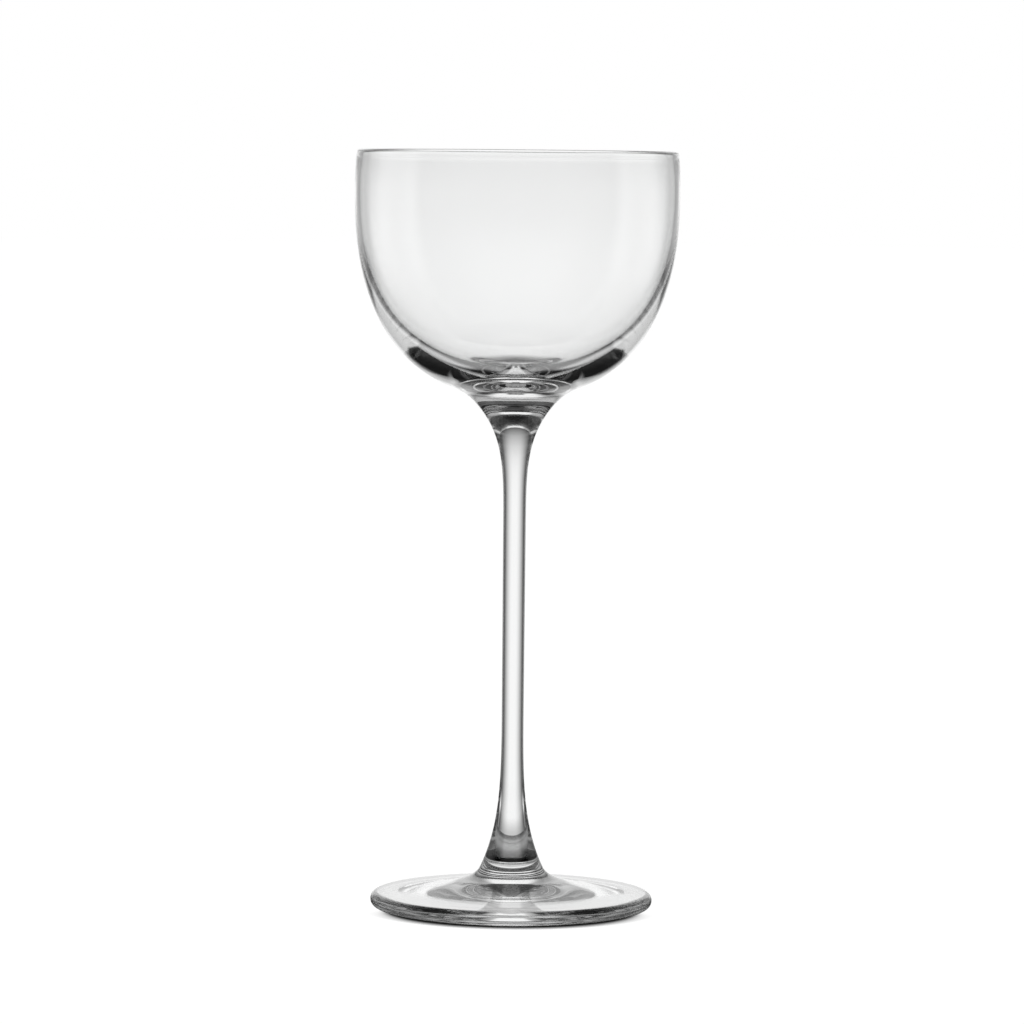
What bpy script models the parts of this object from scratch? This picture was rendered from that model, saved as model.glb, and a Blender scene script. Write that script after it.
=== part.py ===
"""Stemmed cocktail glass: a blown bowl, a drawn stem and a pressed foot, standing on Z = 0."""

import math

import bpy

# Foot, in metres like everything below
FOOT_RADIUS = 0.0317
FOOT_HEIGHT = 0.0086
FOOT_EDGE_DEPTH = 0.0016
FOOT_EDGE_LEVEL = 0.0016
FOOT_EDGE_TOP = 0.0032
FOOT_NECK_RADIUS = 0.0130
FOOT_NECK_LEVEL = 0.0055
FOOT_RING_WIDTH = 0.0045
FOOT_HOLLOW_DEPTH = 0.0020

# Stem
STEM_LENGTH = 0.1047
STEM_UPPER_RADIUS = 0.0026
STEM_LOWER_RADIUS = 0.0024
STEM_TOP_RADIUS = 0.0090
STEM_BASE_RADIUS = 0.0071
STEM_TOP_FLARE = 0.0282
STEM_BASE_FLARE = 0.0395

# Bowl
BOWL_HEIGHT = 0.0561
BOWL_RADIUS = 0.03635
BOWL_WIDEST_LEVEL = 0.0473
BOWL_ROUND_DEPTH = 0.0463
BOWL_ROUND_POWER = 2.38
BOWL_RIM_RADIUS = 0.0360
BOWL_RIM_THICKNESS = 0.0014
BOWL_WALL = 0.00115
BOWL_FLOOR_LEVEL = 0.0056
BOWL_HOLLOW_POWER = 2.35
BOWL_BOSS_SPREAD = 0.0045

# Fused seams
SEAM_GAP = 0.0003

# Curve shapes without a size
FLARE_POWER = 4
FILLET_PULL = 0.35

# Facets
ROUND_STEPS = 64
WALL_STEPS = 14
FLARE_STEPS = 10
FLARE_CROWDING = 1.5
TOP_STEPS = 6
EDGE_STEPS = 5
LIP_STEPS = 3
AXIS_MERGE = 0.00001
SHARP_ANGLE = math.radians(40)

# Clear glass
GLASS_IOR = 1.5


def shares(count):
    """Evenly spaced shares from 0 to 1, both ends included."""
    return [step / count for step in range(count + 1)]


def quarter_round(reach, depth, power, start, end, count):
    """Points of a squared-off quarter round, from its widest radius inwards and down."""
    points = []
    for share in shares(count):
        angle = start + (end - start) * share
        across = reach * max(math.cos(angle), 0.0) ** (2 / power)
        down = depth * max(math.sin(angle), 0.0) ** (2 / power)
        points.append((across, -down))
    return points


def pulled_curve(first, pull, last, count):
    """Points of a curve from first to last that is drawn towards pull."""
    points = []
    for share in shares(count):
        rest = 1 - share
        points.append(
            tuple(
                rest * rest * a + 2 * rest * share * b + share * share * c
                for a, b, c in zip(first, pull, last)
            )
        )
    return points


def foot_profile():
    """Half section of the foot: neck, dished top, round edge, standing ring and hollow."""
    edge_centre = FOOT_RADIUS - FOOT_EDGE_DEPTH
    ring_inside = edge_centre - FOOT_RING_WIDTH
    top_width = edge_centre - FOOT_NECK_RADIUS
    top_rise = FOOT_NECK_LEVEL - FOOT_EDGE_TOP
    pull_radius = STEM_BASE_RADIUS + FILLET_PULL * (FOOT_NECK_RADIUS - STEM_BASE_RADIUS)
    pull_level = FOOT_NECK_LEVEL + 2 * top_rise / top_width * (FOOT_NECK_RADIUS - pull_radius)
    neck = pulled_curve(
        (STEM_BASE_RADIUS, FOOT_HEIGHT),
        (pull_radius, pull_level),
        (FOOT_NECK_RADIUS, FOOT_NECK_LEVEL),
        TOP_STEPS,
    )
    top = [
        (FOOT_NECK_RADIUS + top_width * share, FOOT_EDGE_TOP + top_rise * (1 - share) ** 2)
        for share in shares(TOP_STEPS)[1:]
    ]
    upper_edge = [
        (
            edge_centre + FOOT_EDGE_DEPTH * math.sin(share * math.pi / 2),
            FOOT_EDGE_LEVEL + (FOOT_EDGE_TOP - FOOT_EDGE_LEVEL) * math.cos(share * math.pi / 2),
        )
        for share in shares(EDGE_STEPS)[1:]
    ]
    lower_edge = [
        (
            edge_centre + FOOT_EDGE_DEPTH * math.cos(share * math.pi / 2),
            FOOT_EDGE_LEVEL * (1 - math.sin(share * math.pi / 2)),
        )
        for share in shares(EDGE_STEPS)[1:]
    ]
    hollow = [
        (ring_inside * (1 - share), FOOT_HOLLOW_DEPTH * (1 - (1 - share) ** 2))
        for share in shares(TOP_STEPS)
    ]
    return [(0.0, FOOT_HEIGHT)] + neck + top + upper_edge + lower_edge + hollow


def stem_radius(height):
    """Radius of the stem at a height above its lower end."""
    share = height / STEM_LENGTH
    drawn = STEM_LOWER_RADIUS + (STEM_UPPER_RADIUS - STEM_LOWER_RADIUS) * share
    from_top = max(1 - (STEM_LENGTH - height) / STEM_TOP_FLARE, 0.0) ** FLARE_POWER
    from_base = max(1 - height / STEM_BASE_FLARE, 0.0) ** FLARE_POWER
    return (
        drawn
        + (STEM_TOP_RADIUS - STEM_UPPER_RADIUS) * from_top
        + (STEM_BASE_RADIUS - STEM_LOWER_RADIUS) * from_base
    )


def stem_profile(bottom):
    """Half section of the stem, from its top face down to its lower face."""
    crowded = [share**FLARE_CROWDING for share in shares(FLARE_STEPS)]
    top_flare = [STEM_LENGTH - STEM_TOP_FLARE * share for share in crowded]
    base_flare = [STEM_BASE_FLARE * share for share in reversed(crowded)]
    side = [(stem_radius(height), bottom + height) for height in top_flare + base_flare]
    return [(0.0, bottom + STEM_LENGTH)] + side + [(0.0, bottom)]


def bowl_profile(bottom):
    """Half section of the bowl: hollow, rounded rim, outside and the boss under it."""
    widest = bottom + BOWL_WIDEST_LEVEL
    rim_round = BOWL_RIM_THICKNESS / 2
    rim_level = bottom + BOWL_HEIGHT - rim_round
    inner_radius = BOWL_RADIUS - BOWL_WALL
    inner_rim = BOWL_RIM_RADIUS - BOWL_RIM_THICKNESS
    hollow_depth = BOWL_WIDEST_LEVEL - BOWL_FLOOR_LEVEL
    hollow = quarter_round(
        inner_radius, hollow_depth, BOWL_HOLLOW_POWER, math.pi / 2, 0.0, WALL_STEPS
    )
    hollow = [(across, widest + down) for across, down in hollow]
    hollow[0] = (0.0, bottom + BOWL_FLOOR_LEVEL)
    inner_top = [
        (inner_radius + (inner_rim - inner_radius) * share**2, widest + (rim_level - widest) * share)
        for share in shares(LIP_STEPS)[1:]
    ]
    rim = [
        (
            BOWL_RIM_RADIUS - rim_round - rim_round * math.cos(share * math.pi),
            rim_level + rim_round * math.sin(share * math.pi),
        )
        for share in shares(EDGE_STEPS)[1:]
    ]
    outer_top = [
        (
            BOWL_RIM_RADIUS + (BOWL_RADIUS - BOWL_RIM_RADIUS) * (1 - (1 - share) ** 2),
            rim_level + (widest - rim_level) * share,
        )
        for share in shares(LIP_STEPS)[1:]
    ]
    boss_start = STEM_TOP_RADIUS + BOWL_BOSS_SPREAD
    last_angle = math.acos((boss_start / BOWL_RADIUS) ** (BOWL_ROUND_POWER / 2))
    outside = quarter_round(
        BOWL_RADIUS, BOWL_ROUND_DEPTH, BOWL_ROUND_POWER, 0.0, last_angle, WALL_STEPS
    )
    outside = [(across, widest + down) for across, down in outside[1:]]
    slope = (outside[-1][1] - outside[-2][1]) / (outside[-1][0] - outside[-2][0])
    boss_pull = STEM_TOP_RADIUS + FILLET_PULL * BOWL_BOSS_SPREAD
    boss = pulled_curve(
        outside[-1],
        (boss_pull, outside[-1][1] + slope * (boss_pull - outside[-1][0])),
        (STEM_TOP_RADIUS, bottom),
        EDGE_STEPS,
    )
    return hollow + inner_top + rim + outer_top + outside + boss[1:] + [(0.0, bottom)]


def clear_glass(name, colour, roughness):
    """A Principled glass with its own colour and roughness."""
    material = bpy.data.materials.new(name)
    material.use_nodes = True
    shader = material.node_tree.nodes["Principled BSDF"]
    shader.inputs["Base Color"].default_value = (*colour, 1.0)
    shader.inputs["Metallic"].default_value = 0.0
    shader.inputs["Roughness"].default_value = roughness
    shader.inputs["IOR"].default_value = GLASS_IOR
    shader.inputs["Transmission Weight"].default_value = 1.0
    return material


def turned(name, profile, material, collection, parent):
    """One turned piece: its half section spun about Z and shaded smooth."""
    mesh = bpy.data.meshes.new(name)
    edges = [(index, index + 1) for index in range(len(profile) - 1)]
    mesh.from_pydata([(radius, 0.0, height) for radius, height in profile], edges, [])
    mesh.materials.append(material)
    piece = bpy.data.objects.new(name, mesh)
    collection.objects.link(piece)
    piece.parent = parent
    spin = piece.modifiers.new("spin", "SCREW")
    spin.axis = "Z"
    spin.angle = math.tau
    spin.steps = ROUND_STEPS
    spin.render_steps = ROUND_STEPS
    spin.use_merge_vertices = True
    spin.merge_threshold = AXIS_MERGE
    with bpy.context.temp_override(object=piece, active_object=piece, selected_objects=[piece]):
        bpy.ops.object.modifier_apply(modifier=spin.name)
    mesh.shade_smooth()
    mesh.set_sharp_from_angle(angle=SHARP_ANGLE)
    return piece


def main():
    """Clear the scene and build the three pieces."""
    for found in list(bpy.data.objects):
        bpy.data.objects.remove(found, do_unlink=True)
    collection = bpy.data.collections.new("cocktail_glass")
    bpy.context.scene.collection.children.link(collection)
    frame = bpy.data.objects.new("cocktail_glass_frame", None)
    collection.objects.link(frame)

    stem_bottom = FOOT_HEIGHT + SEAM_GAP
    bowl_bottom = stem_bottom + STEM_LENGTH + SEAM_GAP
    foot_glass = clear_glass("foot_glass", (0.95, 0.96, 0.96), 0.03)
    stem_glass = clear_glass("stem_glass", (0.97, 0.98, 0.98), 0.01)
    bowl_glass = clear_glass("bowl_glass", (0.98, 0.99, 0.99), 0.01)
    turned("foot", foot_profile(), foot_glass, collection, frame)
    turned("stem", stem_profile(stem_bottom), stem_glass, collection, frame)
    turned("bowl", bowl_profile(bowl_bottom), bowl_glass, collection, frame)


if __name__ == "__main__":
    main()
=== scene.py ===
"""Stemmed cocktail glass: clear melted glass on a white table, lit from behind as in the photograph."""

import logging
import math
from dataclasses import dataclass
from enum import Enum

import bpy
from mathutils import Matrix


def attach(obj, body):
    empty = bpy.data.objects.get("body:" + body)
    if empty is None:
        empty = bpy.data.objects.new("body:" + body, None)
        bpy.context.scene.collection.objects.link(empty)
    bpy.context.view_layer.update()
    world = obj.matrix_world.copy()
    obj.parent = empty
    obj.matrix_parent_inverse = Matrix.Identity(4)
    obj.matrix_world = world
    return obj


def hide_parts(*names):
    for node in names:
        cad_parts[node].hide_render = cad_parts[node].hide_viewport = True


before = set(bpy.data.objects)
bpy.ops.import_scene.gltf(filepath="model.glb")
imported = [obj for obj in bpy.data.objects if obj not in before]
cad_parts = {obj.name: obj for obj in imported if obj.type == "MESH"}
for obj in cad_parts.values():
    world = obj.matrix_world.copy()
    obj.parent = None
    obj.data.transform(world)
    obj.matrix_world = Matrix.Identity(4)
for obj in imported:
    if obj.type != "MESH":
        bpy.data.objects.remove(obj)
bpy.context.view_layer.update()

LOG = logging.getLogger("cocktail_glass")
BODY = "root"
SEGMENTS = 192
SHARP_ANGLE = math.radians(35)
SLOPE_STEP = 0.00001
BOUNCES = 32
DEGREES = 180 / math.pi

Station = tuple[float, float]
Signal = bpy.types.NodeSocket | float


class SeenBy(Enum):
    """Kinds of ray that the stage tells apart, by their Light Path output."""

    CAMERA = "Is Camera Ray"
    MIRRORED = "Glossy Depth"
    BENT = "Transmission Depth"


class FaceKind(Enum):
    """What a strip of faces is, which is also its material slot."""

    SKIN = 0
    SEAM = 1


class Mixed(Enum):
    """What a Mix node mixes: its data type, its two inputs and its output."""

    NUMBERS = ("FLOAT", 2, 3, 0)
    COLOURS = ("RGBA", 6, 7, 2)


class Mirrorings(Enum):
    """How often light was mirrored in the glass, as the least and the most Glossy Depth."""

    NONE = (-0.5, 0.5)
    FEW = (0.5, 5.5)
    TURNED = (2.5, 5.5)
    SEVERAL = (5.5, 11.5)
    MANY = (11.5, 999.0)

    @property
    def least(self) -> float:
        """Depth that it starts above."""
        return self.value[0]

    @property
    def most(self) -> float:
        """Depth that it stays under."""
        return self.value[1]


class Wiring:
    """Adds and joins nodes in one shader tree."""

    def __init__(self, tree: bpy.types.NodeTree) -> None:
        """Work in this tree.

        Args:
            tree: the node tree of a material, a world or a node group.
        """
        self.tree = tree

    def node(self, kind: str, **settings: object) -> bpy.types.Node:
        """Add a node.

        Args:
            kind: the node's type name without ShaderNode.
            settings: properties to set on it.

        Returns:
            The new node.
        """
        made = self.tree.nodes.new("ShaderNode" + kind)
        for name, value in settings.items():
            setattr(made, name, value)
        return made

    def feed(self, socket: bpy.types.NodeSocket, source: Signal) -> None:
        """Link a socket to another one, or set its value.

        Args:
            socket: the input to feed.
            source: an output socket or a plain number.
        """
        if isinstance(source, bpy.types.NodeSocket):
            self.tree.links.new(source, socket)
        else:
            socket.default_value = source

    def maths(self, operation: str, *values: Signal) -> bpy.types.NodeSocket:
        """Combine numbers.

        Args:
            operation: the Math node's operation.
            values: sockets or plain numbers.

        Returns:
            The result socket.
        """
        made = self.node("Math", operation=operation)
        for socket, value in zip(made.inputs, values):
            self.feed(socket, value)
        return made.outputs[0]

    def ease(self, value: Signal, start: Signal, end: Signal) -> bpy.types.NodeSocket:
        """Rise smoothly from 0 to 1.

        Args:
            value: the number to follow.
            start: where the rise begins.
            end: where it is complete.

        Returns:
            A socket from 0 to 1.
        """
        made = self.node("MapRange", interpolation_type="SMOOTHSTEP")
        for socket, source in zip(made.inputs, (value, start, end)):
            self.feed(socket, source)
        return made.outputs[0]

    def blend(
        self, share: Signal, first: Signal, second: Signal, kind: Mixed = Mixed.NUMBERS
    ) -> bpy.types.NodeSocket:
        """Go from one number or colour to another.

        Args:
            share: 0 gives the first, 1 the second.
            first: what shows at 0.
            second: what shows at 1.
            kind: whether numbers or colours are mixed.

        Returns:
            The mixed socket.
        """
        data_type, first_input, second_input, output = kind.value
        made = self.node("Mix", data_type=data_type)
        self.feed(made.inputs[0], share)
        self.feed(made.inputs[first_input], first)
        self.feed(made.inputs[second_input], second)
        return made.outputs[output]

    def turn(self, place: bpy.types.NodeSocket) -> bpy.types.NodeSocket:
        """Measure how far a place or a direction is turned away from +Y.

        Args:
            place: the vector.

        Returns:
            Its azimuth in degrees, the same to the left and to the right.
        """
        parts = self.node("SeparateXYZ")
        self.feed(parts.inputs[0], place)
        angle = self.maths("ARCTAN2", *parts.outputs[:2])
        return self.maths("ABSOLUTE", self.maths("MULTIPLY", angle, DEGREES))

    def ray(self, kind: SeenBy) -> bpy.types.NodeSocket:
        """Give a Light Path output.

        Args:
            kind: which output.

        Returns:
            Its socket.
        """
        return self.node("LightPath").outputs[kind.value]


def shares(count: int) -> list[float]:
    """Evenly spaced shares from 0 to 1.

    Args:
        count: how many steps.

    Returns:
        The shares, both ends included.
    """
    return [step / count for step in range(count + 1)]


def quarter_round(
    reach: float, depth: float, power: float, first: float, last: float, count: int
) -> list[Station]:
    """Trace a squared-off quarter round, from its widest radius inwards and down.

    Args:
        reach: its radius at angle 0.
        depth: how far it goes down at a right angle.
        power: 2 is an ellipse, and more is squarer.
        first: angle of the first station.
        last: angle of the last station.
        count: how many steps.

    Returns:
        Stations with levels counted down from the widest radius.
    """
    stations = []
    for share in shares(count):
        angle = first + (last - first) * share
        across = reach * max(math.cos(angle), 0.0) ** (2 / power)
        down = depth * max(math.sin(angle), 0.0) ** (2 / power)
        stations.append((across, -down))
    return stations


def fillet(
    start: Station, start_slope: float, end: Station, end_slope: float, count: int
) -> list[Station]:
    """Trace a curve that leaves one station and reaches another along their slopes.

    Args:
        start: first station.
        start_slope: level gained per radius there.
        end: last station.
        end_slope: level gained per radius there.
        count: how many steps.

    Returns:
        The stations, both ends included.
    """
    across = (end[1] - start[1] + start_slope * start[0] - end_slope * end[0]) / (
        start_slope - end_slope
    )
    corner = (across, start[1] + start_slope * (across - start[0]))
    stations = []
    for share in shares(count):
        rest = 1 - share
        radius, level = (
            rest * rest * first + 2 * rest * share * pull + share * share * last
            for first, pull, last in zip(start, corner, end)
        )
        stations.append((radius, level))
    return stations


def turned_mesh(name: str, outline: list[Station], seams: set[int]) -> bpy.types.Mesh:
    """Spin a half section about Z into a closed mesh.

    Args:
        name: the mesh's name.
        outline: stations that run down the outer side.
        seams: indices of the stations after which a strip is a fused seam.

    Returns:
        The mesh, shaded smooth, with SKIN and SEAM faces.
    """
    points: list[tuple[float, float, float]] = []
    rings: list[list[int]] = []
    for radius, level in outline:
        around = 1 if radius == 0.0 else SEGMENTS
        rings.append(list(range(len(points), len(points) + around)))
        for step in range(around):
            angle = math.tau * step / around
            points.append((radius * math.cos(angle), radius * math.sin(angle), level))
    faces: list[tuple[int, ...]] = []
    kinds: list[int] = []
    for index, (upper, lower) in enumerate(zip(rings, rings[1:])):
        kind = FaceKind.SEAM if index in seams else FaceKind.SKIN
        for step in range(SEGMENTS):
            after = (step + 1) % SEGMENTS
            corners = (
                upper[step % len(upper)],
                lower[step % len(lower)],
                lower[after % len(lower)],
                upper[after % len(upper)],
            )
            faces.append(tuple(dict.fromkeys(corners)))
            kinds.append(kind.value)
    mesh = bpy.data.meshes.new(name)
    mesh.from_pydata(points, [], faces)
    mesh.polygons.foreach_set("material_index", kinds)
    mesh.shade_smooth()
    mesh.set_sharp_from_angle(angle=SHARP_ANGLE)
    mesh.update()
    return mesh


class MeltSkin:
    """Node group for the skin that glass keeps from the fire: faint tint, polish and ripple.

    Attributes:
        NAME: the group's name.
        RIPPLE_DETAIL: detail of the ripple's noise.
        CORD_DETAIL: detail of the cords' noise.
        CORD_FINENESS: fineness of the cords, as a share of the ripple's.
        CORD_RANGE: noise level where a cord begins, and where it is full.
        WIPED_RANGE: noise level where a wiped place begins, and where it is full.
    """

    NAME = "melt_skin"
    RIPPLE_DETAIL = 2.0
    CORD_DETAIL = 1.0
    CORD_FINENESS = 0.4
    CORD_RANGE = (0.3, 0.7)
    WIPED_RANGE = (0.45, 0.75)

    @classmethod
    def group(cls) -> bpy.types.NodeTree:
        """Find or build the group.

        Returns:
            The node group, with outputs Colour, Roughness and Height.
        """
        found = bpy.data.node_groups.get(cls.NAME)
        if found is not None:
            return found
        tree = bpy.data.node_groups.new(cls.NAME, "ShaderNodeTree")
        face = tree.interface
        for label, kind in (
            ("Clear", "NodeSocketColor"),
            ("Deep", "NodeSocketColor"),
            ("Stretch", "NodeSocketVector"),
            ("Fineness", "NodeSocketFloat"),
            ("Polish", "NodeSocketFloat"),
            ("Haze", "NodeSocketFloat"),
        ):
            face.new_socket(label, in_out="INPUT", socket_type=kind)
        for label, kind in (
            ("Colour", "NodeSocketColor"),
            ("Roughness", "NodeSocketFloat"),
            ("Height", "NodeSocketFloat"),
        ):
            face.new_socket(label, in_out="OUTPUT", socket_type=kind)
        wires = Wiring(tree)
        given = tree.nodes.new("NodeGroupInput").outputs
        result = tree.nodes.new("NodeGroupOutput").inputs
        place = wires.node("TexCoord").outputs["Object"]
        drawn = wires.node("VectorMath", operation="MULTIPLY")
        wires.feed(drawn.inputs[0], place)
        wires.feed(drawn.inputs[1], given["Stretch"])
        ripple = wires.node("TexNoise")
        wires.feed(ripple.inputs["Vector"], drawn.outputs[0])
        wires.feed(ripple.inputs["Scale"], given["Fineness"])
        wires.feed(ripple.inputs["Detail"], cls.RIPPLE_DETAIL)
        cord = wires.node("TexNoise")
        wires.feed(cord.inputs["Vector"], drawn.outputs[0])
        coarser = wires.maths("MULTIPLY", given["Fineness"], cls.CORD_FINENESS)
        wires.feed(cord.inputs["Scale"], coarser)
        wires.feed(cord.inputs["Detail"], cls.CORD_DETAIL)
        corded = wires.ease(cord.outputs["Fac"], *cls.CORD_RANGE)
        tone = wires.blend(corded, given["Clear"], given["Deep"], Mixed.COLOURS)
        wires.feed(result["Colour"], tone)
        wiped = wires.ease(ripple.outputs["Fac"], *cls.WIPED_RANGE)
        wires.feed(result["Roughness"], wires.blend(wiped, given["Polish"], given["Haze"]))
        wires.feed(result["Height"], ripple.outputs["Fac"])
        return tree


@dataclass(frozen=True)
class GlassFinish:
    """Clear glass as one piece shows it.

    Attributes:
        name: the material's name.
        slot: the record's material slot; not used.
        clear: colour where the melt is clearest.
        deep: colour in the faint cords of the melt.
        stretch: how the ripple is drawn out, per axis.
        fineness: ripples per metre.
        polish: roughness where the fire polished best.
        haze: roughness in the faintly wiped places.
        ripple: height of the ripple, in metres.
        ior: refractive index.
    """

    name: str
    slot: str
    clear: tuple[float, float, float, float]
    deep: tuple[float, float, float, float]
    stretch: tuple[float, float, float]
    fineness: float
    polish: float
    haze: float
    ripple: float
    ior: float = 1.5

    def material(self) -> bpy.types.Material:
        """Build the material.

        Returns:
            A Principled glass with the melt's skin.
        """
        made = bpy.data.materials.new(self.name)
        made.use_nodes = True
        wires = Wiring(made.node_tree)
        shader = made.node_tree.nodes["Principled BSDF"]
        skin = made.node_tree.nodes.new("ShaderNodeGroup")
        skin.node_tree = MeltSkin.group()
        for label, value in (
            ("Clear", self.clear),
            ("Deep", self.deep),
            ("Stretch", self.stretch),
            ("Fineness", self.fineness),
            ("Polish", self.polish),
            ("Haze", self.haze),
        ):
            skin.inputs[label].default_value = value
        relief = wires.node("Bump")
        relief.inputs["Strength"].default_value = 1.0
        relief.inputs["Distance"].default_value = self.ripple
        wires.feed(relief.inputs["Height"], skin.outputs["Height"])
        shader.inputs["Metallic"].default_value = 0.0
        shader.inputs["Transmission Weight"].default_value = 1.0
        shader.inputs["IOR"].default_value = self.ior
        wires.feed(shader.inputs["Base Color"], skin.outputs["Colour"])
        wires.feed(shader.inputs["Roughness"], skin.outputs["Roughness"])
        wires.feed(shader.inputs["Normal"], relief.outputs["Normal"])
        return made


class FusedSeam:
    """Material of the faces where two pieces are melted together, so that light goes straight on."""

    NAME = "fused_seam"

    @classmethod
    def material(cls) -> bpy.types.Material:
        """Find or build the material.

        Returns:
            A material that shows nothing of itself.
        """
        found = bpy.data.materials.get(cls.NAME)
        if found is not None:
            return found
        made = bpy.data.materials.new(cls.NAME)
        made.use_nodes = True
        made.node_tree.nodes.clear()
        wires = Wiring(made.node_tree)
        passing = wires.node("BsdfPrincipled")
        passing.inputs["Alpha"].default_value = 0.0
        wires.feed(wires.node("OutputMaterial").inputs["Surface"], passing.outputs[0])
        return made


class GlassPiece:
    """One turned piece of the glass."""

    node: str
    finish: GlassFinish

    def outline(self) -> list[Station]:
        """Give the half section that runs down the outer side."""
        raise NotImplementedError

    def seams(self, outline: list[Station]) -> set[int]:
        """Give the stations after which a strip is a fused seam."""
        raise NotImplementedError

    def build(self) -> bpy.types.Object:
        """Make the piece in place of its solid.

        Returns:
            The dressed object, riding on the glass's body.
        """
        outline = self.outline()
        mesh = turned_mesh(self.node + "_skin", outline, self.seams(outline))
        piece = bpy.data.objects.new(self.node + "_glass", mesh)
        bpy.context.scene.collection.objects.link(piece)
        self.dress(piece)
        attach(piece, BODY)
        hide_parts(self.node)
        return piece

    def dress(self, piece: bpy.types.Object) -> None:
        """Give the piece its materials.

        Args:
            piece: the object to dress.
        """
        piece.data.materials.append(self.finish.material())
        piece.data.materials.append(FusedSeam.material())


@dataclass
class Stem(GlassPiece):
    """Drawn stem, slim in the middle and flared into both of its neighbours.

    Attributes:
        node: the solid that it stands for.
        bottom: level of the lower seam.
        length: from seam to seam.
        upper_radius: radius of the drawn rod at the upper seam, without the flare.
        lower_radius: the same at the lower seam.
        top_radius: radius of the upper seam.
        base_radius: radius of the lower seam.
        top_flare: length of the upper flare.
        base_flare: length of the lower flare.
        flare_power: how sharply the flares open.
        flare_spacing: power that crowds the stations towards the seams.
        flare_steps: steps along a flare.
        shaft_steps: steps along the plain shaft.
        finish: its glass.
    """

    node: str = "stem"
    bottom: float = 0.0089
    length: float = 0.1047
    upper_radius: float = 0.0026
    lower_radius: float = 0.0024
    top_radius: float = 0.0090
    base_radius: float = 0.0071
    top_flare: float = 0.0282
    base_flare: float = 0.0395
    flare_power: int = 4
    flare_spacing: float = 1.5
    flare_steps: int = 44
    shaft_steps: int = 12
    finish: GlassFinish = GlassFinish(
        name="drawn_clear_glass",
        slot="stem_glass",
        clear=(0.995, 0.997, 0.996, 1.0),
        deep=(0.985, 0.989, 0.988, 1.0),
        stretch=(1.0, 1.0, 0.06),
        fineness=420.0,
        polish=0.0,
        haze=0.004,
        ripple=0.0000004,
    )

    @property
    def top(self) -> float:
        """Level of the upper seam."""
        return self.bottom + self.length

    def radius_at(self, level: float) -> float:
        """Radius at a level.

        Args:
            level: height in the row frame.

        Returns:
            The radius there.
        """
        height = level - self.bottom
        drawn = self.lower_radius + (self.upper_radius - self.lower_radius) * height / self.length
        above = max(1 - (self.length - height) / self.top_flare, 0.0) ** self.flare_power
        below = max(1 - height / self.base_flare, 0.0) ** self.flare_power
        return (
            drawn
            + (self.top_radius - self.upper_radius) * above
            + (self.base_radius - self.lower_radius) * below
        )

    def slope_at(self, level: float) -> float:
        """Level gained per radius at a level.

        Args:
            level: height in the row frame.

        Returns:
            The slope of the outline there.
        """
        gained = self.radius_at(level + SLOPE_STEP) - self.radius_at(level - SLOPE_STEP)
        return 2 * SLOPE_STEP / gained

    def outline(self) -> list[Station]:
        """Trace the half section.

        Returns:
            Stations from the upper seam down to the lower one.
        """
        shaft_top = self.top - self.top_flare
        shaft_bottom = self.bottom + self.base_flare
        levels = [
            self.top - self.top_flare * share**self.flare_spacing
            for share in shares(self.flare_steps)
        ]
        levels += [
            shaft_top + (shaft_bottom - shaft_top) * share
            for share in shares(self.shaft_steps)[1:]
        ]
        levels += [
            self.bottom + self.base_flare * (1 - share) ** self.flare_spacing
            for share in shares(self.flare_steps)[1:]
        ]
        side = [(self.radius_at(level), level) for level in levels]
        return [(0.0, self.top), *side, (0.0, self.bottom)]

    def seams(self, outline: list[Station]) -> set[int]:
        """Give the two end faces."""
        return {0, len(outline) - 2}


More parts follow.
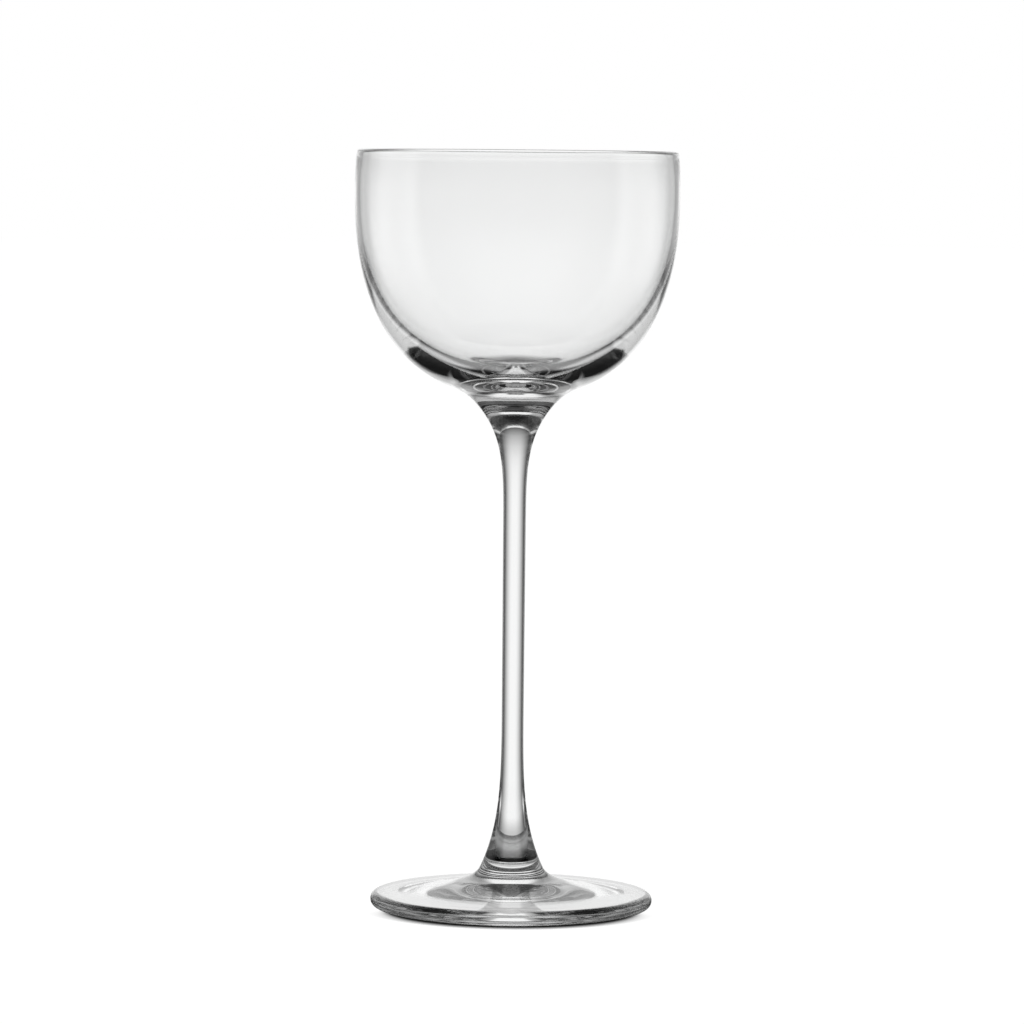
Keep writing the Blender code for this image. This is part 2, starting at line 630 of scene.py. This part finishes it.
@dataclass
class Foot(GlassPiece):
    """Pressed foot with a dished top, a round edge and a hollow underside.

    Attributes:
        stem: the stem that it carries.
        node: the solid that it stands for.
        radius: outer radius.
        edge_depth: how far the rounded edge reaches in.
        edge_level: level of the widest place.
        edge_top: level where the rounded edge meets the top.
        neck_radius: radius where the neck runs out into the top.
        neck_level: level there.
        ring_width: width of the standing ring.
        hollow_depth: depth of the hollow underneath.
        neck_steps: steps along the neck.
        top_steps: steps along the top, and along the hollow.
        edge_steps: steps along each half of the edge.
        finish: its glass.
    """

    stem: Stem
    node: str = "foot"
    radius: float = 0.0317
    edge_depth: float = 0.0016
    edge_level: float = 0.0016
    edge_top: float = 0.0032
    neck_radius: float = 0.0130
    neck_level: float = 0.0055
    ring_width: float = 0.0045
    hollow_depth: float = 0.0020
    neck_steps: int = 24
    top_steps: int = 30
    edge_steps: int = 14
    finish: GlassFinish = GlassFinish(
        name="pressed_clear_glass",
        slot="foot_glass",
        clear=(0.990, 0.993, 0.992, 1.0),
        deep=(0.976, 0.982, 0.980, 1.0),
        stretch=(1.0, 1.0, 1.0),
        fineness=140.0,
        polish=0.0,
        haze=0.003,
        ripple=0.0000004,
    )

    def outline(self) -> list[Station]:
        """Trace the half section.

        Returns:
            Stations from the seam out over the top and back underneath.
        """
        edge_centre = self.radius - self.edge_depth
        ring_inside = edge_centre - self.ring_width
        top_width = edge_centre - self.neck_radius
        top_rise = self.neck_level - self.edge_top
        seam = self.stem.bottom
        neck = fillet(
            (self.stem.radius_at(seam), seam),
            self.stem.slope_at(seam),
            (self.neck_radius, self.neck_level),
            -2 * top_rise / top_width,
            self.neck_steps,
        )
        top = [
            (self.neck_radius + top_width * share, self.edge_top + top_rise * (1 - share) ** 2)
            for share in shares(self.top_steps)[1:]
        ]
        quarter = [share * math.pi / 2 for share in shares(self.edge_steps)[1:]]
        upper_edge = [
            (
                edge_centre + self.edge_depth * math.sin(angle),
                self.edge_level + (self.edge_top - self.edge_level) * math.cos(angle),
            )
            for angle in quarter
        ]
        lower_edge = [
            (
                edge_centre + self.edge_depth * math.cos(angle),
                self.edge_level * (1 - math.sin(angle)),
            )
            for angle in quarter
        ]
        hollow = [
            (ring_inside * (1 - share), self.hollow_depth * (1 - (1 - share) ** 2))
            for share in shares(self.top_steps)
        ]
        return [(0.0, seam), *neck, *top, *upper_edge, *lower_edge, *hollow]

    def seams(self, outline: list[Station]) -> set[int]:
        """Give the face under the stem."""
        return {0}


@dataclass
class Bowl(GlassPiece):
    """Blown bowl with a rounded rim, a thick floor and a boss that runs into the stem.

    Attributes:
        stem: the stem under it.
        node: the solid that it stands for.
        bottom: level that its heights are counted from.
        height: height of the rim.
        radius: widest outer radius.
        widest_level: height of the widest place.
        round_depth: how far the outer round goes down from there.
        round_power: squareness of the outer round.
        rim_radius: outer radius of the rim.
        rim_thickness: thickness of the rim.
        wall: thickness of the wall at the widest place.
        floor_level: height of the hollow's floor.
        hollow_power: squareness of the hollow.
        boss_radius: radius where the boss leaves the outer round.
        wall_steps: steps along each round.
        lip_steps: steps between the widest place and the rim.
        rim_steps: steps over the rim.
        boss_steps: steps down the boss.
        finish: its glass.
    """

    stem: Stem
    node: str = "bowl"
    bottom: float = 0.1139
    height: float = 0.0561
    radius: float = 0.03635
    widest_level: float = 0.0473
    round_depth: float = 0.0463
    round_power: float = 2.38
    rim_radius: float = 0.0360
    rim_thickness: float = 0.0014
    wall: float = 0.00115
    floor_level: float = 0.0056
    hollow_power: float = 2.35
    boss_radius: float = 0.0135
    wall_steps: int = 84
    lip_steps: int = 10
    rim_steps: int = 16
    boss_steps: int = 20
    finish: GlassFinish = GlassFinish(
        name="blown_clear_glass",
        slot="bowl_glass",
        clear=(0.995, 0.997, 0.996, 1.0),
        deep=(0.986, 0.990, 0.989, 1.0),
        stretch=(1.0, 1.0, 0.45),
        fineness=90.0,
        polish=0.0,
        haze=0.004,
        ripple=0.0000020,
    )

    def outline(self) -> list[Station]:
        """Trace the half section.

        Returns:
            Stations from the floor of the hollow over the rim and down to the seam.
        """
        widest = self.bottom + self.widest_level
        rim_round = self.rim_thickness / 2
        rim_level = self.bottom + self.height - rim_round
        inner_radius = self.radius - self.wall
        inner_rim = self.rim_radius - self.rim_thickness
        hollow_depth = self.widest_level - self.floor_level
        hollow = [
            (across, widest + down)
            for across, down in quarter_round(
                inner_radius, hollow_depth, self.hollow_power, math.pi / 2, 0.0, self.wall_steps
            )
        ]
        hollow[0] = (0.0, widest - hollow_depth)
        lip = shares(self.lip_steps)[1:]
        inner_lip = [
            (
                inner_radius + (inner_rim - inner_radius) * share**2,
                widest + (rim_level - widest) * share,
            )
            for share in lip
        ]
        rim = [
            (
                self.rim_radius - rim_round - rim_round * math.cos(share * math.pi),
                rim_level + rim_round * math.sin(share * math.pi),
            )
            for share in shares(self.rim_steps)[1:]
        ]
        outer_lip = [
            (
                self.rim_radius + (self.radius - self.rim_radius) * (1 - (1 - share) ** 2),
                rim_level + (widest - rim_level) * share,
            )
            for share in lip
        ]
        last_angle = math.acos((self.boss_radius / self.radius) ** (self.round_power / 2))
        outside = [
            (across, widest + down)
            for across, down in quarter_round(
                self.radius, self.round_depth, self.round_power, 0.0, last_angle, self.wall_steps
            )
        ][1:]
        (before, high), (after, low) = outside[-2:]
        seam = self.stem.top
        boss = fillet(
            outside[-1],
            (high - low) / (before - after),
            (self.stem.radius_at(seam), seam),
            self.stem.slope_at(seam),
            self.boss_steps,
        )
        return [*hollow, *inner_lip, *rim, *outer_lip, *outside, *boss[1:], (0.0, seam)]

    def seams(self, outline: list[Station]) -> set[int]:
        """Give the face on top of the stem."""
        return {len(outline) - 2}


@dataclass(frozen=True)
class Table:
    """White table that the glass stands on, lit from behind.

    Attributes:
        half_width: half of its side.
        drop: how far it lies under the glass, so that their faces stay apart.
        contact_reach: how far the shadow at the foot spreads.
        contact_samples: rays that measure that shadow.
        contact_depth: power that darkens that shadow.
        contact_turn: azimuth from +Y where that shadow begins, and where it is full.
        lit_share: share of the lamp's light that it throws back, and that its shadow takes away.
        under_level: brightness under the foot, as it shows straight through the glass.
        ring_level: brightness at the standing ring.
        mirrored_level: brightness under the foot through the neck, and in images mirrored a few times.
        neck_bends: number of bends above which light came through the neck.
        neck_print: radius where the dark place under the neck ends, and where that brightness is full.
        led_level: brightness under the foot in light that is mirrored more often.
        touching_level: brightness of the standing ring in mirrored light.
        ring_inside: radius where the standing ring's shade begins, and where it is full.
        foot_print: radius where the place under the foot ends, and where the open table begins.
        shade_end: radius where the shade round the foot begins to fade, and where it has gone.
        flank_level: share of the light that is left beside the foot and in front of it.
        flank_turn: azimuth from +Y where the flanks begin, and where they are full.
        flank_end: radius where the flanks begin to fade, and where they have gone.
    """

    half_width: float = 6.0
    drop: float = 0.00005
    contact_reach: float = 0.004
    contact_samples: int = 16
    contact_depth: float = 6.0
    contact_turn: tuple[float, float] = (105.0, 160.0)
    lit_share: float = 0.04
    under_level: float = 0.68
    ring_level: float = 0.56
    mirrored_level: float = 0.28
    neck_bends: float = 3.5
    neck_print: tuple[float, float] = (0.011, 0.021)
    led_level: float = 0.30
    touching_level: float = 0.03
    ring_inside: tuple[float, float] = (0.024, 0.033)
    foot_print: tuple[float, float] = (0.034, 0.037)
    shade_end: tuple[float, float] = (0.033, 0.066)
    flank_level: float = 0.20
    flank_turn: tuple[float, float] = (22.0, 45.0)
    flank_end: tuple[float, float] = (0.052, 0.075)

    def build(self) -> bpy.types.Object:
        """Make the table.

        Returns:
            The stage object.
        """
        side = self.half_width
        mesh = bpy.data.meshes.new("table")
        corners = [(-side, -side, 0.0), (side, -side, 0.0), (side, side, 0.0), (-side, side, 0.0)]
        mesh.from_pydata(corners, [], [(0, 1, 2, 3)])
        mesh.materials.append(self.material())
        table = bpy.data.objects.new("table", mesh)
        bpy.context.scene.collection.objects.link(table)
        table.location.z = -self.drop
        return table

    def material(self) -> bpy.types.Material:
        """Build the table's material.

        Returns:
            White for the camera with the glass's shadow, and the studio's light in the glass.
        """
        made = bpy.data.materials.new("white_table")
        made.use_nodes = True
        made.node_tree.nodes.clear()
        wires = Wiring(made.node_tree)
        place = wires.node("NewGeometry").outputs["Position"]
        whole = wires.node("MixShader")
        wires.feed(whole.inputs[0], wires.ray(SeenBy.CAMERA))
        wires.feed(whole.inputs[1], self.in_glass(wires, place))
        wires.feed(whole.inputs[2], self.in_view(wires, place))
        wires.feed(wires.node("OutputMaterial").inputs["Surface"], whole.outputs[0])
        return made

    def in_view(self, wires: Wiring, place: bpy.types.NodeSocket) -> bpy.types.NodeSocket:
        """Add what the camera sees: white with the shadow that falls forward from the foot.

        Args:
            wires: the material's tree.
            place: the point on the table.

        Returns:
            The shader's socket.
        """
        contact = wires.node("AmbientOcclusion", samples=self.contact_samples)
        wires.feed(contact.inputs["Distance"], self.contact_reach)
        glow = wires.node("Emission")
        forward = wires.ease(wires.turn(place), *self.contact_turn)
        depth = wires.maths("MULTIPLY", forward, self.contact_depth)
        wires.feed(glow.inputs["Strength"], wires.maths("POWER", contact.outputs["AO"], depth))
        lit = wires.node("BsdfDiffuse")
        lit.inputs["Color"].default_value = (*[self.lit_share] * 3, 1.0)
        white = wires.node("AddShader")
        wires.feed(white.inputs[0], glow.outputs[0])
        wires.feed(white.inputs[1], lit.outputs[0])
        return white.outputs[0]

    def in_glass(self, wires: Wiring, place: bpy.types.NodeSocket) -> bpy.types.NodeSocket:
        """Add what shows in the glass: the place under the foot, and the studio's light round it.

        Args:
            wires: the material's tree.
            place: the point on the table.

        Returns:
            The shader's socket.
        """
        length = wires.node("VectorMath", operation="LENGTH")
        wires.feed(length.inputs[0], place)
        radius = length.outputs["Value"]
        ring = wires.ease(radius, *self.ring_inside)
        plain = wires.blend(ring, self.under_level, self.ring_level)
        turns = wires.ray(SeenBy.MIRRORED)
        mirrored = wires.maths("GREATER_THAN", turns, Mirrorings.FEW.least)
        through_neck = wires.maths("GREATER_THAN", wires.ray(SeenBy.BENT), self.neck_bends)
        led = wires.maths("GREATER_THAN", turns, Mirrorings.SEVERAL.least)
        neck = wires.maths("MULTIPLY", wires.ease(radius, *self.neck_print), self.mirrored_level)
        dim = wires.blend(ring, wires.blend(led, neck, self.led_level), self.touching_level)
        under = wires.node("Emission")
        level = wires.blend(wires.maths("MAXIMUM", mirrored, through_neck), plain, dim)
        wires.feed(under.inputs["Strength"], level)
        shade = wires.blend(wires.ease(radius, *self.shade_end), self.ring_level, 1.0)
        flank = wires.maths(
            "MULTIPLY",
            wires.ease(wires.turn(place), *self.flank_turn),
            wires.ease(radius, *reversed(self.flank_end)),
        )
        shade = wires.maths("MULTIPLY", shade, wires.blend(flank, 1.0, self.flank_level))
        grey = wires.node("CombineColor")
        for socket in grey.inputs:
            wires.feed(socket, shade)
        around = wires.node("BsdfTransparent")
        wires.feed(around.inputs["Color"], grey.outputs[0])
        whole = wires.node("MixShader")
        wires.feed(whole.inputs[0], wires.ease(radius, *self.foot_print))
        wires.feed(whole.inputs[1], under.outputs[0])
        wires.feed(whole.inputs[2], around.outputs[0])
        return whole.outputs[0]


@dataclass(frozen=True)
class Panel:
    """Soft-edged light in the studio, the same to the left and to the right.

    Angles are in degrees. Each edge is where the light has half its level, with half the width of
    its softness.

    Attributes:
        label: what it stands for.
        level: its brightness.
        near_edge: azimuth from +Y where it begins, and the softness there.
        far_edge: azimuth where it ends.
        low_edge: elevation where it begins.
        high_edge: elevation where it ends.
    """

    label: str
    level: float
    near_edge: tuple[float, float] | None = None
    far_edge: tuple[float, float] | None = None
    low_edge: tuple[float, float] | None = None
    high_edge: tuple[float, float] | None = None

    def signal(self, wires: Wiring, turn: Signal, rise: Signal) -> Signal:
        """Add the panel's brightness by direction.

        Args:
            wires: the world's tree.
            turn: azimuth from +Y, without its sign.
            rise: elevation.

        Returns:
            The brightness.
        """
        light: Signal = self.level
        for edge, angle, ends in (
            (self.near_edge, turn, False),
            (self.far_edge, turn, True),
            (self.low_edge, rise, False),
            (self.high_edge, rise, True),
        ):
            if edge is not None:
                middle, soft = edge
                first, last = (middle + soft, middle - soft) if ends else (middle - soft, middle + soft)
                light = wires.maths("MULTIPLY", light, wires.ease(angle, first, last))
                light.node.label = self.label
        return light


@dataclass(frozen=True)
class Studio:
    """White backdrop behind the glass, with lamps and walls beside it and in front of it.

    How often light was mirrored in the glass decides which panels it can show.

    Attributes:
        straight: panels that show straight through the glass.
        few: panels in images that are mirrored a few times.
        turned: further panels in images that are mirrored three to five times.
        several: panels in light that turns inside the thick floor and rims.
        many: panels in light that is led along inside the walls.
        dark_level: brightness between the panels.
        key_height: height of the soft lamp over the table.
        key_size: its side.
        key_power: its power in watts.
    """

    straight: tuple[Panel, ...] = (
        Panel("backdrop", 1.0, far_edge=(27, 22), low_edge=(-52, 12), high_edge=(19, 26)),
        Panel("side lamp", 0.35, (55, 6), (81, 10), (-8, 4), (10, 9)),
        Panel("low sweep", 1.0, (40, 2), (49, 2), (-36, 4), (-16, 3)),
        Panel("side wall", 1.0, (86, 3), (112, 12), (-54, 20), (25, 25)),
        Panel("front wall", 1.0, near_edge=(125, 10), low_edge=(-54, 20), high_edge=(25, 25)),
    )
    few: tuple[Panel, ...] = (
        Panel("backdrop", 1.0, far_edge=(16, 5), low_edge=(-26, 4), high_edge=(36, 2.5)),
        Panel("low wings", 1.0, (6, 1.5), (16, 5), (-36, 4), (-26, 4)),
        Panel("low glow", 0.24, far_edge=(16, 5), low_edge=(-46, 2), high_edge=(-38, 2)),
        Panel("foot of it", 0.12, far_edge=(16, 5), low_edge=(-62, 10), high_edge=(-36, 4)),
        Panel("beside it", 0.38, (16, 5), (38, 10), (-13, 6), (36, 2.5)),
        Panel("glow over it", 0.08, far_edge=(57, 25), low_edge=(20, 6), high_edge=(44, 10)),
        Panel("side lamp", 0.50, (49, 4), (73, 13), (-27, 11), (-1, 10)),
        Panel("side wall", 0.47, (46, 18), (101, 3), (-67, 16), (26, 8)),
        Panel("front wall", 0.29, near_edge=(135, 20), low_edge=(12, 14), high_edge=(62, 15)),
        Panel("front floor", 0.56, near_edge=(97, 17), low_edge=(-81, 8), high_edge=(-10, 23)),
    )
    turned: tuple[Panel, ...] = (
        Panel("high lamps", 0.67, far_edge=(45, 10), low_edge=(37, 7), high_edge=(70, 12)),
    )
    several: tuple[Panel, ...] = (
        Panel("backdrop", 0.42, far_edge=(24.5, 2.5), low_edge=(-47, 9), high_edge=(16, 8)),
        Panel("front lamps", 0.45, (112, 8), (142, 6), (-40, 15), (14, 6)),
        Panel("ceiling", 0.12, far_edge=(90, 20), low_edge=(42, 15), high_edge=(80, 11)),
    )
    many: tuple[Panel, ...] = (
        Panel("low walls", 0.76, (84, 3), (165, 8), (-42, 24), (16, 5)),
        Panel("low lamps", 0.70, (68, 3), (84, 3), (1, 2), (13, 3)),
        Panel("side glow", 0.28, (52, 19), (117, 21), (20, 2), (45, 11)),
    )
    dark_level: float = 0.010
    key_height: float = 1.2
    key_size: float = 1.0
    key_power: float = 14.0

    def light(self) -> None:
        """Set the world and the soft lamp."""
        self.surround()
        self.key()

    def surround(self) -> None:
        """Make the world: white for the camera, and the panels by direction in the glass."""
        world = bpy.data.worlds.new("studio")
        bpy.context.scene.world = world
        world.cycles.sampling_method = "NONE"
        world.use_nodes = True
        world.node_tree.nodes.clear()
        wires = Wiring(world.node_tree)
        way = wires.node("TexCoord").outputs["Generated"]
        parts = wires.node("SeparateXYZ")
        wires.feed(parts.inputs[0], way)
        turn = wires.turn(way)
        rise = wires.maths("MULTIPLY", wires.maths("ARCSINE", parts.outputs[2]), DEGREES)
        depth = wires.ray(SeenBy.MIRRORED)
        level: Signal = self.dark_level
        for mirrorings, panels in (
            (Mirrorings.NONE, self.straight),
            (Mirrorings.FEW, self.few),
            (Mirrorings.TURNED, self.turned),
            (Mirrorings.SEVERAL, self.several),
            (Mirrorings.MANY, self.many),
        ):
            above = wires.maths("GREATER_THAN", depth, mirrorings.least)
            below = wires.maths("LESS_THAN", depth, mirrorings.most)
            shown = wires.maths("MULTIPLY", above, below)
            together: Signal = 0.0
            for panel in panels:
                together = wires.maths("ADD", together, panel.signal(wires, turn, rise))
            level = wires.maths("ADD", level, wires.maths("MULTIPLY", shown, together))
        level = wires.maths("MINIMUM", level, 1.0)
        light = wires.node("Background")
        light.inputs["Color"].default_value = (1.0, 1.0, 1.0, 1.0)
        wires.feed(light.inputs["Strength"], wires.blend(wires.ray(SeenBy.CAMERA), level, 1.0))
        wires.feed(wires.node("OutputWorld").inputs["Surface"], light.outputs[0])

    def key(self) -> None:
        """Hang the soft lamp that gives the table the glass's shadow."""
        lamp = bpy.data.lights.new("soft_key", "AREA")
        lamp.shape = "SQUARE"
        lamp.size = self.key_size
        lamp.energy = self.key_power
        hung = bpy.data.objects.new("soft_key", lamp)
        bpy.context.scene.collection.objects.link(hung)
        hung.location = (0.0, 0.0, self.key_height)
        hung.visible_glossy = False
        hung.visible_transmission = False
        hung.visible_camera = False


@dataclass(frozen=True)
class Lens:
    """Camera at the photograph's place.

    Attributes:
        distance: from the glass's axis, in metres.
        height: above the table.
        aside: to the left of the axis.
        pitch: downward tilt in degrees.
        roll: clockwise tilt of the picture in degrees.
        focal: focal length in millimetres on the sensor.
        sensor: sensor width in millimetres.
        reach: how far it sees, in metres.
    """

    distance: float = 1.204
    height: float = 0.179
    aside: float = 0.00058
    pitch: float = 4.271
    roll: float = 0.54
    focal: float = 189.2
    sensor: float = 36.0
    reach: float = 100.0

    def build(self) -> bpy.types.Object:
        """Make the scene's camera.

        Returns:
            The camera object.
        """
        data = bpy.data.cameras.new("camera")
        data.sensor_width = self.sensor
        data.lens = self.focal
        data.clip_end = self.reach
        camera = bpy.data.objects.new("camera", data)
        bpy.context.scene.collection.objects.link(camera)
        camera.location = (-self.aside, -self.distance, self.height)
        tilt = Matrix.Rotation(math.radians(90.0 - self.pitch), 3, "X")
        camera.rotation_euler = (tilt @ Matrix.Rotation(math.radians(self.roll), 3, "Z")).to_euler()
        bpy.context.scene.camera = camera
        return camera


def set_light_paths() -> None:
    """Let light bounce often enough inside thick glass, and keep colours as written."""
    scene = bpy.context.scene
    scene.view_settings.view_transform = "Standard"
    cycles = scene.cycles
    cycles.max_bounces = BOUNCES
    cycles.transmission_bounces = BOUNCES
    cycles.glossy_bounces = BOUNCES
    cycles.transparent_max_bounces = BOUNCES
    cycles.use_denoising = True


def main() -> None:
    """Build the glass and its stage."""
    logging.basicConfig(level=logging.INFO, format="%(name)s: %(message)s")
    set_light_paths()
    stem = Stem()
    for piece in (stem, Foot(stem), Bowl(stem)):
        made = piece.build()
        LOG.info("%s stands for %s, %d faces", made.name, piece.node, len(made.data.polygons))
    LOG.info("stage: %s", Table().build().name)
    Studio().light()
    LOG.info("view: %s", Lens().build().name)


if __name__ == "__main__":
    main()
